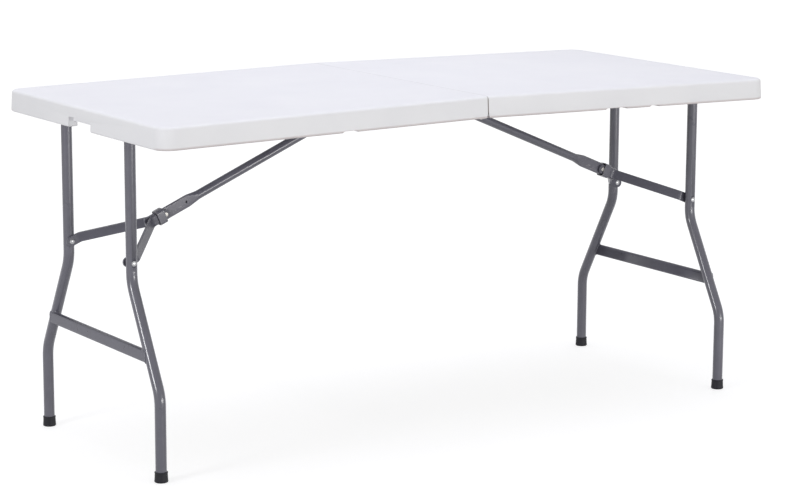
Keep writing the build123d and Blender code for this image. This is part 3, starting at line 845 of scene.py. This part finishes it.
def cap_profile(foot_radius, height, bore, floor_thickness):
    """Profile of a cap from the middle of its sole, up its outside, over the lip and down its bore."""
    lip_radius = foot_radius - cap_waist
    return [
        (0, cap_sole_dish),
        (foot_radius * 0.35, cap_sole_dish),
        (foot_radius * 0.42, 0),
        (foot_radius * 0.80, 0),
        (foot_radius * 0.90, cap_sole_dish),
        (foot_radius * 0.97, cap_sole_round),
        (foot_radius, cap_sole_height),
        (lip_radius, height * 0.3),
        (lip_radius - cap_waist * 0.6, height * 0.62),
        (lip_radius - cap_waist, height - cap_lip * 3),
        (lip_radius - cap_waist * 0.2, height - cap_lip * 2.4),
        (lip_radius, height - cap_lip * 1.4),
        (lip_radius - cap_waist * 0.4, height - cap_lip * 0.5),
        (lip_radius - cap_lip, height),
        (bore + cap_mouth, height - cap_lip * 0.3),
        (bore, height - cap_lip),
        (bore, floor_thickness),
        (0, floor_thickness),
    ]


for side in sides:
    for edge in ("near", "far"):
        low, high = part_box(f"{side}_{edge}_foot_cap")
        leg_low, leg_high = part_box(f"{side}_{edge}_leg")
        bore = (leg_high.x - leg_low.x) / 2
        profile = cap_profile((high.x - low.x) / 2, high.z - low.z, bore, leg_low.z)
        bm = lathe(profile, cap_sides)
        foot = Vector(((low.x + high.x) / 2, (low.y + high.y) / 2, low.z))
        bmesh.ops.translate(bm, vec=foot, verts=bm.verts)
        name = f"{side}_{edge}_cap"
        add_piece(name, mesh_from(bm, name), [f"{side}_{edge}_foot_cap"], black_cap)

# Brace rivets
# Bright steel rivets that pin the brace's fork to the two legs: domed heads outside the legs, and
# snapped tails inside the fork bars.
rivet_head_radius = 0.0055
rivet_head_height = 0.002
rivet_crown = 0.85
rivet_shank_radius = 0.004
rivet_seat = 0.001
rivet_sides = 40


def rivet_shape(seat, length):
    """Rivet with its head's seat at the origin, head along +Z over a short collar, shank along -Z."""
    crown = rivet_head_height * rivet_crown
    head = dome(rivet_head_radius, crown, seat + rivet_head_height - crown)
    collar = [(rivet_head_radius, 0), (rivet_shank_radius, 0)]
    shank = [(rivet_shank_radius, -length), (0, -length)]
    return mesh_from(lathe(head + collar + shank, rivet_sides), "rivet")


def set_rivets(node, name, facing_out, seat):
    """Shows a node of two rivets, with their heads facing away from the table's middle or towards it."""
    places = []
    for low, high in separate_boxes(node):
        out = 1 if low.y > 0 else -1
        reach = [abs(low.y), abs(high.y)]
        head = rivet_head_height + seat
        seat_y = max(reach) - head if facing_out else min(reach) + head
        length = high.y - low.y - head
        middle = (low + high) / 2
        direction = Vector((0, out if facing_out else -out, 0))
        places.append((Vector((middle.x, out * seat_y, middle.z)), direction))
    set_fasteners(node, name, rivet_shape(seat, length), places)


for side in sides:
    set_rivets(f"{side}_leg_rivets", f"{side}_leg_rivet_set", True, rivet_seat)
    set_rivets(f"{side}_fork_rivets", f"{side}_fork_rivet_set", False, 0.0)

# Braces
# A long tube pressed flat at the elbow, two flat bars from there to the legs, and a sleeve that slides
# over the elbow to lock it straight. The tube's top end is pinned between two plated angle brackets.
# The sleeve's edges are worn, and it has scratched the tube along its travel.
bar_edge = 0.0012
bracket_edge = 0.0005
ring_edge = 0.0008
round_segments = 3
rub_length = 0.011
rub_width = 0.0011
rub_reach = 0.095
rub_detail = 3.0
rub_bare = 0.72
rub_coated = 0.62
worn_patch = 0.007
bare_steel = (0.40, 0.39, 0.40, 1)

# Both tubes share one pattern of scratches, mirrored about the fold
rub_axis = Vector(joints["right_ring_slide"]["axis"])
rub_side = rub_axis.cross(Vector((0, 1, 0)))
elbow = Vector(joints["right_elbow"]["pos_m"])


def vectors(tree, operation, first, second):
    """A Vector Math node on two vectors."""
    return add_node(tree, "ShaderNodeVectorMath", {0: first, 1: second}, operation=operation)


rubbed_coat, tree, shader, colour = new_coat("rubbed powder coat")
place = add_node(tree, "ShaderNodeTexCoord")
along = add_node(tree, "ShaderNodeSeparateXYZ", {0: place.outputs["Object"]})
mirrored = add_node(
    tree,
    "ShaderNodeCombineXYZ",
    {0: maths(tree, "ABSOLUTE", along.outputs["X"]), 1: along.outputs["Y"], 2: along.outputs["Z"]},
)
from_elbow = vectors(tree, "SUBTRACT", mirrored.outputs[0], elbow).outputs[0]
up_tube = vectors(tree, "DOT_PRODUCT", from_elbow, rub_axis).outputs["Value"]
across = vectors(tree, "DOT_PRODUCT", from_elbow, rub_side).outputs["Value"]
on_tube = add_node(tree, "ShaderNodeCombineXYZ", {0: up_tube, 1: along.outputs["Y"], 2: across})
streak_scale = Vector((1 / rub_length, 1 / rub_width, 1 / rub_width))
streaks = vectors(tree, "MULTIPLY", on_tube.outputs[0], streak_scale).outputs[0]
scratches = add_node(
    tree,
    "ShaderNodeTexNoise",
    {"Vector": streaks, "Scale": 1.0, "Detail": rub_detail},
)
scratched = fade(tree, scratches.outputs["Fac"], rub_bare, rub_coated)
in_travel = fade(tree, up_tube, rub_reach / 2, rub_reach)
rubbed = maths(tree, "MULTIPLY", scratched, in_travel)
set_inputs(tree, shader, {"Base Color": mix_colours(tree, rubbed, colour, bare_steel)})

worn_edge, tree, shader, colour = new_coat("coat worn at an edge")
patches = cloudy(tree, worn_patch)
set_inputs(tree, shader, {"Base Color": mix_colours(tree, patches, colour, bare_steel)})

for side in sides:
    dress(f"{side}_strut_brackets", f"{side}_brackets", zinc_plate, bracket_edge)
    dress(f"{side}_strut_pin", f"{side}_bracket_pin", bright_plate)
    dress(f"{side}_strut", f"{side}_strut_tube", rubbed_coat)
    dress(f"{side}_elbow_pin", f"{side}_elbow_rivet", zinc_plate)
    ring = f"{side}_lock_ring"
    dress(ring, f"{side}_lock_sleeve", grey_coat, ring_edge, round_segments, worn_edge)
    for edge in ("near", "far"):
        bar = f"{side}_{edge}_fork_bar"
        name = f"{side}_{edge}_flat_bar"
        dress(bar, name, dull_coat, bar_edge, round_segments)

# Floor
# A wide pale floor under the table. It is white to the camera and still takes the table's shadow.
floor_size = 80.0
floor_colour = (0.42, 0.42, 0.42, 1)
floor_roughness = 0.9
near_lift = 0.72
far_lift = 0.86
near_reach = 1.0
far_reach = 5.0
plain_white = (1, 1, 1, 1)


def seen_rays(tree):
    """Output that is 1 for rays that show a surface: from the camera, mirrored or passed through."""
    rays = add_node(tree, "ShaderNodeLightPath").outputs
    seen = maths(tree, "MAXIMUM", rays["Is Camera Ray"], rays["Is Glossy Ray"])
    return maths(tree, "MAXIMUM", seen, rays["Is Transmission Ray"])


bm = bmesh.new()
bmesh.ops.create_grid(bm, x_segments=1, y_segments=1, size=floor_size / 2)
floor_mesh = mesh_from(bm, "floor")
floor = add_object("floor", floor_mesh)
floor_finish, tree, shader = new_finish("pale floor")
place = add_node(tree, "ShaderNodeTexCoord")
reach = add_node(tree, "ShaderNodeVectorMath", {0: place.outputs["Object"]}, operation="LENGTH")
lift = add_node(
    tree,
    "ShaderNodeMapRange",
    {
        "Value": reach.outputs["Value"],
        "From Min": near_reach,
        "From Max": far_reach,
        "To Min": near_lift,
        "To Max": far_lift,
    },
)
set_inputs(tree, shader, {
    "Base Color": floor_colour,
    "Roughness": floor_roughness,
    "Emission Color": plain_white,
    "Emission Strength": maths(tree, "MULTIPLY", seen_rays(tree), lift.outputs["Result"]),
})
floor_mesh.materials.append(floor_finish)

# Light
# A pale even room, with a broad soft box over the table, a low strip in front of it that lights the
# rim and the legs but not the top, and a small box at the left end.
room_light = 0.40
world = bpy.data.worlds.new("pale room")
bpy.context.scene.world = world
world.use_nodes = True
tree = world.node_tree
set_inputs(tree, tree.nodes["Background"], {
    "Color": plain_white,
    "Strength": between(tree, seen_rays(tree), room_light, 1.0),
})

# Place, target, width and height, power and colour of each box
soft_boxes = {
    "overhead": ((0.1, 0.2, 3.4), (0, 0, 0.7), (3.0, 3.0), 57, (0.87, 0.875, 1.0)),
    "front": ((1.1, -4.6, 0.42), (0, 0, 0.42), (3.0, 0.5), 78, (1.0, 0.99, 0.98)),
    "left": ((-4.0, -0.9, 1.35), (-0.5, 0, 0.5), (1.0, 0.6), 50, (0.98, 0.98, 1.0)),
}
for name, (place, target, (width, height), power, colour) in soft_boxes.items():
    lamp = bpy.data.lights.new(name, "AREA")
    lamp.shape = "RECTANGLE"
    lamp.size = width
    lamp.size_y = height
    lamp.energy = power
    lamp.color = colour
    box = add_object(name, lamp)
    box.location = place
    box.rotation_euler = (Vector(target) - Vector(place)).to_track_quat("-Z", "Y").to_euler()

# Camera
# Stands in front of the left end, a little above the top, with a long lens.
camera_place = Vector((-2.9496, -4.5355, 1.3987))
camera_yaw = 0.5811
camera_pitch = 0.1901
camera_roll = 0.0048
focal_pixels = 2489.9
image_width = 811
sensor_width = 36

forward = Vector((
    math.sin(camera_yaw) * math.cos(camera_pitch),
    math.cos(camera_yaw) * math.cos(camera_pitch),
    -math.sin(camera_pitch),
))
level_right = Vector((math.cos(camera_yaw), -math.sin(camera_yaw), 0))
level_up = level_right.cross(forward)
right = level_right * math.cos(camera_roll) + level_up * math.sin(camera_roll)
up = level_up * math.cos(camera_roll) - level_right * math.sin(camera_roll)
camera_data = bpy.data.cameras.new("camera")
camera_data.sensor_width = sensor_width
camera_data.lens = focal_pixels * sensor_width / image_width
camera = add_object("camera", camera_data)
turn = Matrix((right, up, -forward)).transposed().to_4x4()
camera.matrix_world = Matrix.Translation(camera_place) @ turn
bpy.context.scene.camera = camera
bpy.context.scene.view_settings.view_transform = "Standard"
